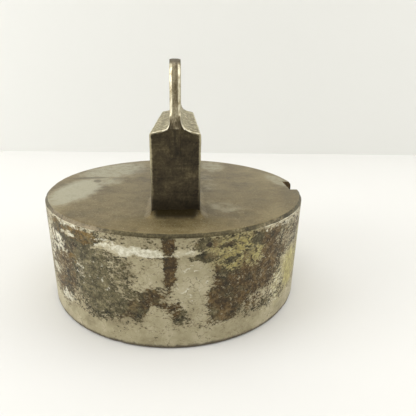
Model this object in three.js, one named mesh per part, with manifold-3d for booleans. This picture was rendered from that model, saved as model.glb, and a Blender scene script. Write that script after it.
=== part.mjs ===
// Permanent pot magnet with a welded lifting lug.
// Millimetres, +Z up. The origin is the centre of the pole face that the magnet stands on.
// +Y runs along the lug block, and the notch in the top rim is on the +X side.

import * as THREE from 'three';
import { mergeVertices } from 'three/addons/utils/BufferGeometryUtils.js';
import Module from 'manifold-3d';

// ---- Driving dimensions ----------------------------------------------------

const FIT_GAP = 0.3;              // clearance left between pieces that bear on each other
const ROUND_SEGMENTS = 96;        // facets round the body
const INNER_SEGMENTS = 72;        // facets round the magnets and the pole
const SMALL_SEGMENTS = 36;        // facets round the screw and its holes

const BODY_RADIUS = 50.8;         // 4 in across
const BODY_HEIGHT = 40.2;         // just under 1 5/8 in
const TOP_THICKNESS = 10.4;       // solid steel over the magnets
const WALL_THICKNESS = 7.9;       // about 5/16 in
const TOP_CHAMFER = 1;
const RIM_CHAMFER = 0.5;

const NOTCH_WIDTH = 11.7;         // across, tangential
const NOTCH_RADIAL_DEPTH = 4.4;   // inwards from the rim
const NOTCH_HEIGHT = 8;           // downwards from the top face

const BLOCK_WIDTH = 15.7;         // 5/8 in bar, cleaned up
const BLOCK_LENGTH = 73;
const BLOCK_SIDE_HEIGHT = 26.7;   // height of the block's two long top edges
const BLOCK_CROWN_RISE = 0.8;     // the ground top climbs this much towards the plate
const BLOCK_EDGE_BEVEL = 0.7;

const PLATE_THICKNESS = 3.2;      // 1/8 in
const PLATE_TOP = 87.5;           // above the pole face
const PLATE_TANG = 7.7;           // depth of the tang in the block's slot
const PLATE_CORNER_RADIUS = 5;
const PLATE_EDGE_BEVEL = 0.75;
const EYE_RADIUS = 6;
const EYE_HEIGHT = 78;            // the eye's centre, above the pole face

const PLATE_WELD_REACH = 2.6;     // out along the block
const PLATE_WELD_RISE = 3.4;      // up the plate
const BASE_WELD_LEG = 2.4;
const WELD_TOE = 0.2;             // blunt edge left at a weld's toes
const WELD_ARC_STEPS = 6;

const POLE_RADIUS = 36;
const POLE_THICKNESS = 9.5;
const MAGNET_RADIUS = 36;
const MAGNET_BORE_RADIUS = 16;
const MAGNET_COUNT = 2;
const FACE_RING_RECESS = 0.5;
const FACE_RING_THICKNESS = 4.5;

const SCREW_RADIUS = 4.75;        // 3/8 in
const SCREW_HEAD_RADIUS = 9.5;
const SCREW_HEAD_DEPTH = 5;
const SCREW_RECESS = 0.5;
const SCREW_THREAD_DEPTH = 7.5;    // threaded length in the top of the shell
const HEX_SOCKET_ACROSS_FLATS = 6;
const HEX_SOCKET_DEPTH = 3.5;

// ---- Values that follow from them ------------------------------------------

const CAVITY_RADIUS = BODY_RADIUS - WALL_THICKNESS;
const CAVITY_HEIGHT = BODY_HEIGHT - TOP_THICKNESS;
const BLOCK_BASE = BODY_HEIGHT + FIT_GAP;
const BLOCK_EDGE_TOP = BODY_HEIGHT + BLOCK_SIDE_HEIGHT;
const BLOCK_CROWN_TOP = BLOCK_EDGE_TOP + BLOCK_CROWN_RISE;
const SLOT_HALF_WIDTH = PLATE_THICKNESS / 2 + FIT_GAP;
const PLATE_BOTTOM = BLOCK_EDGE_TOP - PLATE_TANG;
const MAGNET_BAND = CAVITY_HEIGHT - POLE_THICKNESS;
const MAGNET_PITCH = MAGNET_BAND / MAGNET_COUNT;

// ---- Materials -------------------------------------------------------------

function metal(color, roughness, metalness = 0.85) {
  return new THREE.MeshStandardMaterial({ color, roughness, metalness });
}

const PAINTED_STEEL = metal(0x8c8171, 0.6, 0.5);
const DARK_STEEL = metal(0x55493a, 0.55);
const WORN_STEEL = metal(0x8d8574, 0.45);
const WELD_STEEL = metal(0x8f8568, 0.6);
const GROUND_STEEL = metal(0xa09c94, 0.35, 1);
const BRASS = metal(0xa98f52, 0.4, 1);
const FERRITE = metal(0x37363a, 0.75, 0.2);
const RESIN = metal(0x6a2a1d, 0.5, 0);
const SCREW_STEEL = metal(0x77736b, 0.35, 1);

// ---- Solid helpers ---------------------------------------------------------

const wasm = await Module();
wasm.setup();

function toManifold(geometry) {
  const bare = geometry.clone();
  bare.deleteAttribute('normal');
  bare.deleteAttribute('uv');
  const merged = mergeVertices(bare, 1e-4);
  return new wasm.Manifold(new wasm.Mesh({
    numProp: 3,
    vertProperties: Float32Array.from(merged.attributes.position.array),
    triVerts: Uint32Array.from(merged.index.array),
  }));
}

function fromManifold(solid) {
  const mesh = solid.getMesh();
  const geometry = new THREE.BufferGeometry();
  geometry.setAttribute('position', new THREE.BufferAttribute(mesh.vertProperties, 3));
  geometry.setIndex(new THREE.BufferAttribute(mesh.triVerts, 1));
  geometry.computeVertexNormals();
  return geometry;
}

function cut(geometry, ...tools) {
  let solid = toManifold(geometry);
  for (const tool of tools) {
    solid = solid.subtract(toManifold(tool));
  }
  return fromManifold(solid);
}

// Turns a profile of [radius, height] pairs about the Z axis.
function turned(profile, segments) {
  const points = profile.map(([radius, height]) => new THREE.Vector2(radius, height));
  return new THREE.LatheGeometry(points, segments).rotateX(Math.PI / 2);
}

// A ring of rectangular section, its profile closed on itself.
function ring(outer, inner, bottom, top, segments) {
  const profile = [[outer, bottom], [outer, top], [inner, top], [inner, bottom], [outer, bottom]];
  return turned(profile, segments);
}

function box(width, length, height, x, y, z) {
  return new THREE.BoxGeometry(width, length, height).translate(x, y, z);
}

// A concave weld face from the toe far out to the toe high up, as [out, up] pairs.
function weldFace(reach, rise, hollow) {
  const curve = new THREE.QuadraticBezierCurve(
    new THREE.Vector2(reach, WELD_TOE),
    new THREE.Vector2(reach * (0.5 - hollow), rise * (0.5 - hollow)),
    new THREE.Vector2(WELD_TOE, rise),
  );
  return curve.getPoints(WELD_ARC_STEPS).map((point) => [point.x, point.y]);
}

// A weld run along X over a straight edge, its two ends mitred at 45 degrees.
// The face goes out along -Y and up along +Z from the edge at the origin.
function mitredRun(edgeLength, face) {
  const section = [[0, 0], [face[0][0], 0], ...face, [0, face[face.length - 1][1]]];
  const count = section.length;
  const positions = [];
  for (const side of [-1, 1]) {
    for (const [out, up] of section) {
      positions.push(side * (edgeLength / 2 + out - FIT_GAP / 2), -out, up);
    }
  }
  const caps = THREE.ShapeUtils.triangulateShape(section.map(([x, y]) => new THREE.Vector2(x, y)), []);
  const index = [];
  for (const [a, b, c] of caps) {
    index.push(a, b, c, a + count, c + count, b + count);
  }
  for (let i = 0; i < count; i += 1) {
    const next = (i + 1) % count;
    index.push(i, i + count, next, next, i + count, next + count);
  }
  const geometry = new THREE.BufferGeometry();
  geometry.setAttribute('position', new THREE.Float32BufferAttribute(positions, 3));
  geometry.setIndex(index);
  return geometry;
}

// ---- Assembly --------------------------------------------------------------

const magnet = new THREE.Group();

function add(name, geometry, material, parent = magnet) {
  const mesh = new THREE.Mesh(geometry, material);
  mesh.name = name;
  parent.add(mesh);
  return mesh;
}

// The pot: one turned piece of steel, open at the pole face, with a tapped hole inside its
// top and a milled notch in its top rim.
function potShell() {
  const tap = SCREW_RADIUS + FIT_GAP;
  const profile = [
    [0, CAVITY_HEIGHT + SCREW_THREAD_DEPTH],
    [tap, CAVITY_HEIGHT + SCREW_THREAD_DEPTH],
    [tap, CAVITY_HEIGHT],
    [CAVITY_RADIUS, CAVITY_HEIGHT],
    [CAVITY_RADIUS, 0],
    [BODY_RADIUS - RIM_CHAMFER, 0],
    [BODY_RADIUS, RIM_CHAMFER],
    [BODY_RADIUS, BODY_HEIGHT - TOP_CHAMFER],
    [BODY_RADIUS - TOP_CHAMFER, BODY_HEIGHT],
    [0, BODY_HEIGHT],
  ];
  const overrun = 5;
  const radial = NOTCH_RADIAL_DEPTH + overrun;
  const upright = NOTCH_HEIGHT + overrun;
  const notch = box(
    radial, NOTCH_WIDTH, upright,
    BODY_RADIUS - NOTCH_RADIAL_DEPTH + radial / 2, 0, BODY_HEIGHT - NOTCH_HEIGHT + upright / 2,
  );
  return cut(turned(profile, ROUND_SEGMENTS), notch);
}

// The bar welded across the top. Its long edges are bevelled, its top is ground to a low
// crown, and a slot along the crown takes the plate's tang.
function lugBlock() {
  const half = BLOCK_WIDTH / 2;
  const slotFloor = PLATE_BOTTOM - FIT_GAP;
  const crown = half / 2;
  const end = new THREE.Shape();
  end.moveTo(-half, BLOCK_BASE);
  end.lineTo(half, BLOCK_BASE);
  end.lineTo(half, BLOCK_EDGE_TOP);
  end.lineTo(crown, BLOCK_CROWN_TOP);
  end.lineTo(SLOT_HALF_WIDTH, BLOCK_CROWN_TOP);
  end.lineTo(SLOT_HALF_WIDTH, slotFloor);
  end.lineTo(-SLOT_HALF_WIDTH, slotFloor);
  end.lineTo(-SLOT_HALF_WIDTH, BLOCK_CROWN_TOP);
  end.lineTo(-crown, BLOCK_CROWN_TOP);
  end.lineTo(-half, BLOCK_EDGE_TOP);
  end.closePath();
  const bar = new THREE.ExtrudeGeometry(end, { depth: BLOCK_LENGTH, bevelEnabled: false });
  bar.rotateX(Math.PI / 2).translate(0, BLOCK_LENGTH / 2, 0);
  const bevelTools = [];
  const cutter = BLOCK_EDGE_BEVEL * Math.SQRT2;
  for (const x of [-half, half]) {
    for (const y of [-BLOCK_LENGTH / 2, BLOCK_LENGTH / 2]) {
      const tool = new THREE.BoxGeometry(cutter, cutter, 4 * BLOCK_SIDE_HEIGHT);
      bevelTools.push(tool.rotateZ(Math.PI / 4).translate(x, y, BLOCK_BASE));
    }
  }
  return cut(bar, ...bevelTools);
}

// The upright plate with the lifting eye. Drawn from the side, then given its thickness.
function eyePlate() {
  const end = BLOCK_LENGTH / 2 - PLATE_EDGE_BEVEL;
  const bottom = PLATE_BOTTOM + PLATE_EDGE_BEVEL;
  const top = PLATE_TOP - PLATE_EDGE_BEVEL;
  const corner = PLATE_CORNER_RADIUS;
  const outline = new THREE.Shape();
  outline.moveTo(-end, bottom);
  outline.lineTo(end, bottom);
  outline.absarc(end - corner, top - corner, corner, 0, Math.PI / 2, false);
  outline.absarc(corner - end, top - corner, corner, Math.PI / 2, Math.PI, false);
  outline.closePath();
  const eye = new THREE.Path();
  eye.absarc(0, EYE_HEIGHT, EYE_RADIUS + PLATE_EDGE_BEVEL, 0, 2 * Math.PI, true);
  outline.holes.push(eye);
  const plate = new THREE.ExtrudeGeometry(outline, {
    depth: PLATE_THICKNESS - 2 * PLATE_EDGE_BEVEL,
    bevelThickness: PLATE_EDGE_BEVEL,
    bevelSize: PLATE_EDGE_BEVEL,
    bevelSegments: 1,
    curveSegments: 10,
  });
  plate.translate(0, 0, PLATE_EDGE_BEVEL - PLATE_THICKNESS / 2);
  const sideways = new THREE.Matrix4().makeBasis(
    new THREE.Vector3(0, 1, 0),
    new THREE.Vector3(0, 0, 1),
    new THREE.Vector3(1, 0, 0),
  );
  return plate.applyMatrix4(sideways);
}

// The ground weld in the corner between the plate and the block, on the +X side.
function plateWeld() {
  const face = weldFace(PLATE_WELD_REACH, PLATE_WELD_RISE, 0.12);
  const section = new THREE.Shape();
  section.moveTo(0, 0);
  section.lineTo(PLATE_WELD_REACH, 0);
  for (const [out, up] of face) {
    section.lineTo(out, up);
  }
  section.lineTo(0, PLATE_WELD_RISE);
  section.closePath();
  const run = new THREE.ExtrudeGeometry(section, { depth: BLOCK_LENGTH, bevelEnabled: false });
  return run.rotateX(Math.PI / 2).translate(0, BLOCK_LENGTH / 2, 0);
}

// The pole: a thick steel disc, countersunk for the screw.
function polePlate() {
  const shank = SCREW_RADIUS + FIT_GAP;
  const mouth = SCREW_HEAD_RADIUS + FIT_GAP;
  const top = POLE_THICKNESS - FIT_GAP;
  const profile = [
    [POLE_RADIUS, 0],
    [POLE_RADIUS, top],
    [shank, top],
    [shank, SCREW_RECESS + SCREW_HEAD_DEPTH],
    [mouth, SCREW_RECESS],
    [mouth, 0],
    [POLE_RADIUS, 0],
  ];
  return turned(profile, INNER_SEGMENTS);
}

// A countersunk screw with a hex socket, its head at the pole face.
function poleScrew() {
  const head = SCREW_RECESS;
  const top = CAVITY_HEIGHT + SCREW_THREAD_DEPTH - FIT_GAP;
  const tip = 1;
  const profile = [
    [0, head],
    [SCREW_HEAD_RADIUS, head],
    [SCREW_RADIUS, head + SCREW_HEAD_DEPTH],
    [SCREW_RADIUS, top - tip],
    [SCREW_RADIUS - tip, top],
    [0, top],
  ];
  const socketRadius = HEX_SOCKET_ACROSS_FLATS / Math.sqrt(3);
  const overrun = 1;
  const depth = HEX_SOCKET_DEPTH + overrun;
  const socket = new THREE.CylinderGeometry(socketRadius, socketRadius, depth, 6);
  socket.rotateX(Math.PI / 2).translate(0, 0, head + HEX_SOCKET_DEPTH - depth / 2);
  return cut(turned(profile, SMALL_SEGMENTS), socket);
}

add('pot_shell', potShell(), PAINTED_STEEL);
add('lug_block', lugBlock(), DARK_STEEL);
add('eye_plate', eyePlate(), WORN_STEEL);

for (const [side, turn] of [['right', 0], ['left', Math.PI]]) {
  const group = new THREE.Group();
  group.rotation.z = turn;
  group.position.z = BLOCK_CROWN_TOP + FIT_GAP / 2;
  magnet.add(group);
  const weld = add(`plate_weld_${side}`, plateWeld(), WELD_STEEL, group);
  weld.position.x = PLATE_THICKNESS / 2 + FIT_GAP / 2;
}

const baseWeldFace = weldFace(BASE_WELD_LEG, BASE_WELD_LEG, 0.06);
const baseRuns = [
  ['front', BLOCK_WIDTH, BLOCK_LENGTH / 2, 0],
  ['right', BLOCK_LENGTH, BLOCK_WIDTH / 2, Math.PI / 2],
  ['back', BLOCK_WIDTH, BLOCK_LENGTH / 2, Math.PI],
  ['left', BLOCK_LENGTH, BLOCK_WIDTH / 2, -Math.PI / 2],
];
for (const [side, edgeLength, standOff, turn] of baseRuns) {
  const group = new THREE.Group();
  group.rotation.z = turn;
  group.position.z = BODY_HEIGHT + FIT_GAP / 2;
  magnet.add(group);
  const weld = add(`base_weld_${side}`, mitredRun(edgeLength, baseWeldFace), WELD_STEEL, group);
  weld.position.y = -standOff - FIT_GAP / 2;
}

add('pole_plate', polePlate(), GROUND_STEEL);
add('face_ring', ring(
  CAVITY_RADIUS - FIT_GAP, POLE_RADIUS + FIT_GAP,
  FACE_RING_RECESS, FACE_RING_RECESS + FACE_RING_THICKNESS, INNER_SEGMENTS,
), BRASS);
add('potting_ring', ring(
  CAVITY_RADIUS - FIT_GAP, POLE_RADIUS + FIT_GAP,
  FACE_RING_RECESS + FACE_RING_THICKNESS + FIT_GAP, CAVITY_HEIGHT - FIT_GAP, INNER_SEGMENTS,
), RESIN);

const magnetNames = ['lower', 'upper'];
for (let i = 0; i < MAGNET_COUNT; i += 1) {
  const bottom = POLE_THICKNESS + i * MAGNET_PITCH;
  const ringMagnet = ring(
    MAGNET_RADIUS, MAGNET_BORE_RADIUS, bottom, bottom + MAGNET_PITCH - FIT_GAP, INNER_SEGMENTS,
  );
  add(`ring_magnet_${magnetNames[i]}`, ringMagnet, FERRITE);
}
add('centring_bush', ring(
  MAGNET_BORE_RADIUS - FIT_GAP, SCREW_RADIUS + FIT_GAP,
  POLE_THICKNESS, CAVITY_HEIGHT - FIT_GAP, SMALL_SEGMENTS,
), BRASS);
add('pole_screw', poleScrew(), SCREW_STEEL);

export default magnet;
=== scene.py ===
"""A worn permanent lifting magnet on a pale table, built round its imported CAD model.

Mesh code works in millimetres in the model's own frame, and every object is made in metres.
The body's wear is held as smooth fields on its vertices, and the noise in the materials
breaks up their edges.
"""
import math
import random

import bmesh
import bpy
import numpy as np
from mathutils import Matrix, Vector, noise
from mathutils.geometry import tessellate_polygon


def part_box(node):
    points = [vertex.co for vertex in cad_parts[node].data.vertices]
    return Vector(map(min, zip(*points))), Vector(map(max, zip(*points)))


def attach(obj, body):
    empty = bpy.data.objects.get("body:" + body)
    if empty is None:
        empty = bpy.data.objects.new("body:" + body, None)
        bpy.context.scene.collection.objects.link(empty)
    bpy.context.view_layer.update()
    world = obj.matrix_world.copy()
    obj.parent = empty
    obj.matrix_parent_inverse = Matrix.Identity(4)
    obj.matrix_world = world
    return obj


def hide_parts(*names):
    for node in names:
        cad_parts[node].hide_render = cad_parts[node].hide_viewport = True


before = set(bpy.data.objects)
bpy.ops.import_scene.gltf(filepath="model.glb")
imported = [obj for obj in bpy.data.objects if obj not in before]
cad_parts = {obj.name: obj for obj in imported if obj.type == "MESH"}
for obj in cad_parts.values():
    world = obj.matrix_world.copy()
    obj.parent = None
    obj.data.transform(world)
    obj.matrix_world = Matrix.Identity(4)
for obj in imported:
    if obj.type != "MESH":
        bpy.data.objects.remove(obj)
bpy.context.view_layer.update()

MM = 0.001

# ---- Sizes in millimetres, read from the frame or repeated from the design ----


def box_mm(node):
    """Lowest and highest corner of a CAD node, in millimetres."""
    low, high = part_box(node)
    return low / MM, high / MM


BODY_RADIUS = box_mm("pot_shell")[1].x
BODY_TOP = box_mm("pot_shell")[1].z
CAVITY_RADIUS = box_mm("face_ring")[1].x + 0.3
CAVITY_TOP = box_mm("ring_magnet_upper")[1].z + 0.3
TOP_CHAMFER = 1.0
RIM_CHAMFER = 0.5
NOTCH_WIDTH = 11.7
NOTCH_FLOOR = BODY_TOP - 8.0
NOTCH_WALL = BODY_RADIUS - 4.4

BAR_SIDE = box_mm("lug_block")[1].x
BAR_END = box_mm("lug_block")[1].y
BAR_CROWN = box_mm("lug_block")[1].z
CROWN_RISE = 0.8
BAR_ROUNDING = 0.9
SLOT_PLAY = 0.05

PLATE_HALF = box_mm("eye_plate")[1].x
PLATE_BOTTOM = box_mm("eye_plate")[0].z
PLATE_TOP = box_mm("eye_plate")[1].z
PLATE_BEVEL = 0.75
PLATE_CORNER = 5.0
BEVEL_START = BAR_CROWN + 2.8
EYE_RADIUS = 6.0
EYE_HEIGHT = 78.0

# Each weld beside the plate: which side, how far it reaches out and up, and its own seed.
PLATE_WELDS = {"right": (1, 3.0, 3.4, 5.0), "left": (-1, 2.3, 2.8, 9.0)}
BASE_WELD_LEG = box_mm("base_weld_right")[1].x - BAR_SIDE

POLE_RADIUS = box_mm("pole_plate")[1].x
POLE_TOP = box_mm("pole_plate")[1].z
SCREW_HEAD_RADIUS = box_mm("pole_screw")[1].x
SCREW_RECESS = box_mm("pole_screw")[0].z
SCREW_SEAT = SCREW_RECESS + 5.0
SCREW_TOP = box_mm("pole_screw")[1].z
SHANK_RADIUS = 4.75
SHANK_HOLE = 5.05
SOCKET_RADIUS = 3.46
SOCKET_DEPTH = 3.5

ROUND_STEPS = 512


# ---- Node helper ----


class Look:
    """Builds the nodes of a material or world. Lengths in its noises are millimetres."""

    def __init__(self, owner):
        owner.use_nodes = True
        self.owner = owner
        self.tree = owner.node_tree
        self.tree.nodes.clear()
        self.source = self.node("TexCoord").outputs
        metres = {0: self.source["Object"], "Scale": 1 / MM}
        self.place = self.node("VectorMath", metres, operation="SCALE").outputs[0]

    def node(self, kind, inputs=(), **settings):
        """A new node, with its settings, and with inputs filled by their name or number."""
        node = self.tree.nodes.new("ShaderNode" + kind)
        for name, value in settings.items():
            setattr(node, name, value)
        for key, value in dict(inputs).items():
            self.put(node.inputs[key], value)
        return node

    def put(self, socket, value):
        """Links a socket, or sets its value. None leaves it as it is."""
        if isinstance(value, bpy.types.NodeSocket):
            self.tree.links.new(value, socket)
        elif isinstance(value, tuple) and len(socket.default_value) == 4:
            socket.default_value = linear(value)
        elif value is not None:
            socket.default_value = value

    def noise(self, size, detail, roughness, offset=0.0, stretch=(1, 1, 1)):
        """Fractal noise whose largest features are about size millimetres across."""
        shift = (offset, offset * 0.7, offset * 1.3)
        place = self.node("VectorMath", {0: self.place, 1: stretch, 2: shift}, operation="MULTIPLY_ADD")
        inputs = {"Vector": place.outputs[0], "Scale": 1 / size, "Detail": detail, "Roughness": roughness}
        return self.node("TexNoise", inputs).outputs["Fac"]

    def axis(self, letter):
        return self.node("SeparateXYZ", {0: self.place}).outputs[letter]

    def field(self, name):
        return self.node("Attribute", attribute_name=name).outputs["Fac"]

    def math(self, operation, *values):
        return self.node("Math", dict(enumerate(values)), operation=operation).outputs[0]

    def times(self, a, b):
        return self.math("MULTIPLY", a, b)

    def plus(self, base, value, weight):
        """The base with weight times the value added."""
        return self.math("MULTIPLY_ADD", value, weight, base)

    def swayed(self, base, value, weight):
        """The base moved up and down by a noise, which swings round 0.5."""
        return self.plus(base, self.math("SUBTRACT", value, 0.5), weight)

    def near(self, centre, radius):
        """1 at a place in millimetres, falling to 0 at a ragged radius."""
        away = self.node("VectorMath", {0: self.place, 1: centre}, operation="DISTANCE")
        reach = self.swayed(away.outputs["Value"], self.noise(radius, 3.0, 0.55), radius * 1.2)
        return self.step(reach, radius, radius * 0.55)

    def step(self, value, low, high):
        """0 below low, 1 above high, smooth between them; high may be the lower one."""
        ends = {"From Min": min(low, high), "From Max": max(low, high)}
        if low > high:
            ends.update({"To Min": 1.0, "To Max": 0.0})
        node = self.node("MapRange", {"Value": value, **ends}, interpolation_type="SMOOTHSTEP")
        return node.outputs[0]

    def blend(self, share, a, b):
        """Number a turning into number b."""
        return self.node("Mix", {0: share, 2: a, 3: b}).outputs[0]

    def mix(self, share, a, b):
        """Colour a turning into colour b."""
        return self.node("Mix", {0: share, 6: a, 7: b}, data_type="RGBA").outputs[2]

    def coat(self, colour, share, strength, over):
        """A colour with another over it where share is 1, strength being how well it covers."""
        return self.mix(self.times(share, strength), colour, over)

    def ramp(self, value, *stops):
        """Colours placed along a value, each stop a place and a colour."""
        node = self.node("ValToRGB", {0: value})
        elements = node.color_ramp.elements
        for element, (place, colour) in ((elements[0], stops[0]), (elements[1], stops[-1])):
            element.position = place
            element.color = linear(colour)
        for place, colour in stops[1:-1]:
            elements.new(place).color = linear(colour)
        return node.outputs[0]

    def bump(self, height, depth, normal=None):
        """Relief of depth millimetres between heights 0 and 1."""
        inputs = {"Strength": 1.0, "Distance": depth * MM, "Height": height, "Normal": normal}
        return self.node("Bump", inputs).outputs[0]

    def finish(self, colour, roughness, metallic, normal=None, specular=0.5):
        """Joins everything up and returns the material."""
        inputs = {"Base Color": colour, "Roughness": roughness, "Metallic": metallic, "Normal": normal}
        surface = self.node("BsdfPrincipled", {**inputs, "Specular IOR Level": specular})
        self.node("OutputMaterial", {"Surface": surface.outputs[0]})
        return self.owner


def new_look(name):
    return Look(bpy.data.materials.new(name))


def linear(colour):
    """Three sRGB values of 0 to 255 as a linear colour. Four values are linear already."""
    if len(colour) == 4:
        return colour
    return (*[((value / 255 + 0.055) / 1.055) ** 2.4 for value in colour], 1)


# ---- Camera, light and stage ----


def placed(name, data):
    """A new object in the scene."""
    thing = bpy.data.objects.new(name, data)
    bpy.context.scene.collection.objects.link(thing)
    return thing


def make_camera():
    """In front of the bar and a little to its right, looking 20 degrees down."""
    heading = Vector((0.0792, 0.9969, 0.0)).normalized()
    pitch = math.radians(19.95)
    roll = math.radians(1.49)
    forward = heading * math.cos(pitch) - Vector((0, 0, 1)) * math.sin(pitch)
    right = forward.cross(Vector((0, 0, 1))).normalized()
    up = right.cross(forward)
    turn = Matrix.Rotation(roll, 3, -forward)
    data = bpy.data.cameras.new("camera")
    data.lens = 30.45
    data.clip_start = 0.005
    data.clip_end = 20.0
    camera = placed("camera", data)
    axes = Matrix((turn @ right, turn @ up, -forward)).transposed()
    place = Matrix.Translation(Vector((1.89, -142.52, 81.81)) * MM)
    camera.matrix_world = place @ axes.to_4x4()
    bpy.context.scene.camera = camera


def area_light(name, place, target, size, energy, colour=(1, 1, 1)):
    data = bpy.data.lights.new(name, "AREA")
    data.shape = "RECTANGLE"
    data.size, data.size_y = size
    data.energy = energy
    data.color = colour
    light = placed(name, data)
    light.location = place
    light.rotation_euler = (Vector(target) - Vector(place)).to_track_quat("-Z", "Y").to_euler()


def make_lights():
    area_light("top_softbox", (0.0, 0.12, 0.75), (0, 0, 0.03), (0.9, 0.9), 3.2, (1.0, 0.985, 0.95))
    area_light("left_softbox", (-0.75, -0.15, 0.35), (0, 0, 0.02), (0.5, 0.6), 3.5)
    area_light("right_softbox", (0.75, -0.1, 0.4), (0, 0, 0.02), (0.5, 0.6), 2.0)


def make_world():
    """A light tent: bright above, behind and at the sides, dim on the camera's side."""
    world = bpy.data.worlds.new("light_tent")
    bpy.context.scene.world = world
    look = Look(world)
    direction = look.node("SeparateXYZ", {0: look.source["Generated"]}).outputs
    share = look.plus(0.5, look.plus(direction["Y"], direction["Z"], 0.7), 0.5)
    glow = look.ramp(share, (0.30, (0.31, 0.297, 0.265, 1)), (0.75, (0.97, 0.96, 0.925, 1)))
    tent = look.node("Background", {"Color": glow}).outputs[0]
    seen = look.node("Background", {"Color": (0.82, 0.83, 0.79, 1)}).outputs[0]
    camera_ray = look.node("LightPath").outputs["Is Camera Ray"]
    mix = look.node("MixShader", {0: camera_ray, 1: tent, 2: seen})
    look.node("OutputWorld", {"Surface": mix.outputs[0]})


def make_stage():
    """A pale table, and a wall behind it where the table ends."""
    side = 1.5
    end = 0.275
    top = 0.9
    near = [(-side, -side, 0), (side, -side, 0)]
    foot = [(-side, end, 0), (side, end, 0)]
    head = [(side, end, top), (-side, end, top)]
    floor = panel("table", near + foot[::-1], (0.775, 0.772, 0.755, 1))
    wall = panel("wall", foot + head, (0.84, 0.845, 0.82, 1))


def panel(name, corners, colour):
    """A plain matt rectangle."""
    mesh = bpy.data.meshes.new(name)
    mesh.from_pydata(corners, [], [(0, 1, 2, 3)])
    mesh.materials.append(new_look(name).finish(colour, 0.7, 0.0, specular=0.2))
    return placed(name, mesh)


# ---- Materials ----


def bare_steel_colour(look):
    """Bare patches of the side: dark scale, brown oxide, and orange where the rust is fresh."""
    cloud = look.noise(3.2, 6.0, 0.68, 31.0, stretch=(1, 1, 1.4))
    tone = look.plus(cloud, look.field("brown"), -0.16)
    tone = look.swayed(tone, look.noise(0.9, 5.0, 0.75, 12.0), 0.9)
    olive = look.ramp(
        tone, (0.34, (40, 36, 21)), (0.5, (78, 72, 47)), (0.64, (108, 100, 70)), (0.8, (152, 143, 108)),
    )
    brown = look.ramp(
        tone, (0.26, (50, 37, 16)), (0.42, (88, 69, 37)), (0.58, (122, 100, 62)), (0.78, (158, 139, 98)),
    )
    hue = look.plus(look.noise(4.0, 4.0, 0.6, 77.0), look.field("brown"), 0.3)
    steel = look.mix(look.step(hue, 0.46, 0.74), olive, brown)
    rust = look.ramp(tone, (0.3, (68, 51, 19)), (0.5, (114, 87, 36)), (0.75, (156, 130, 72)))
    streaks = look.noise(3.0, 5.0, 0.65, 55.0, stretch=(1, 1, 2.6))
    share = look.plus(streaks, look.field("rust"), 0.6)
    return look.coat(steel, look.step(share, 0.82, 1.0), 0.85, rust)


def old_paint_colour(look, film):
    """Paint: dirty silver-grey, yellowed in places, thin where film is 1."""
    cloud = look.plus(look.noise(8.0, 6.0, 0.66, 5.0), look.field("white"), 0.35)
    grain = look.noise(0.9, 5.0, 0.75, 44.0)
    tint = look.noise(1.8, 6.0, 0.68, 58.0)
    grey = ((0.28, (132, 122, 90)), (0.5, (171, 161, 128)), (0.72, (196, 187, 156)))
    yellow = ((0.36, (128, 114, 58)), (0.52, (170, 158, 88)), (0.66, (200, 192, 134)))
    paint = look.mix(look.field("yellow"), look.ramp(cloud, *grey), look.ramp(tint, *yellow))
    paint = look.coat(paint, film, 0.62, (116, 102, 68))
    paint = look.mix(look.step(grain, 0.62, 0.72), paint, (84, 73, 46))
    line = look.math("ABSOLUTE", look.math("SUBTRACT", look.noise(4.0, 2.0, 0.5, 88.0), 0.5))
    line = look.times(look.step(line, 0.012, 0.003), look.step(cloud, 0.5, 0.56))
    paint = look.coat(paint, line, 0.6, (84, 73, 50))
    return look.mix(look.step(grain, 0.42, 0.26), paint, (208, 202, 175))


def round_the_body(angle, height):
    """A place on the body's side, from its angle in degrees and its height."""
    turn = math.radians(angle)
    return (BODY_RADIUS * math.cos(turn), BODY_RADIUS * math.sin(turn), height)


# Two rust pits just under the top edge.
PIT_PLACES = (round_the_body(-78.7, BODY_TOP - 3.5), round_the_body(-30.5, BODY_TOP - 4.4))
# Noises that break up the paint's edge: size, detail, weight and offset.
EDGE_LAYERS = ((7.0, 4.0, 0.6, 3.0), (2.0, 6.0, 1.0, 19.0), (0.8, 4.0, 1.25, 71.0))


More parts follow.
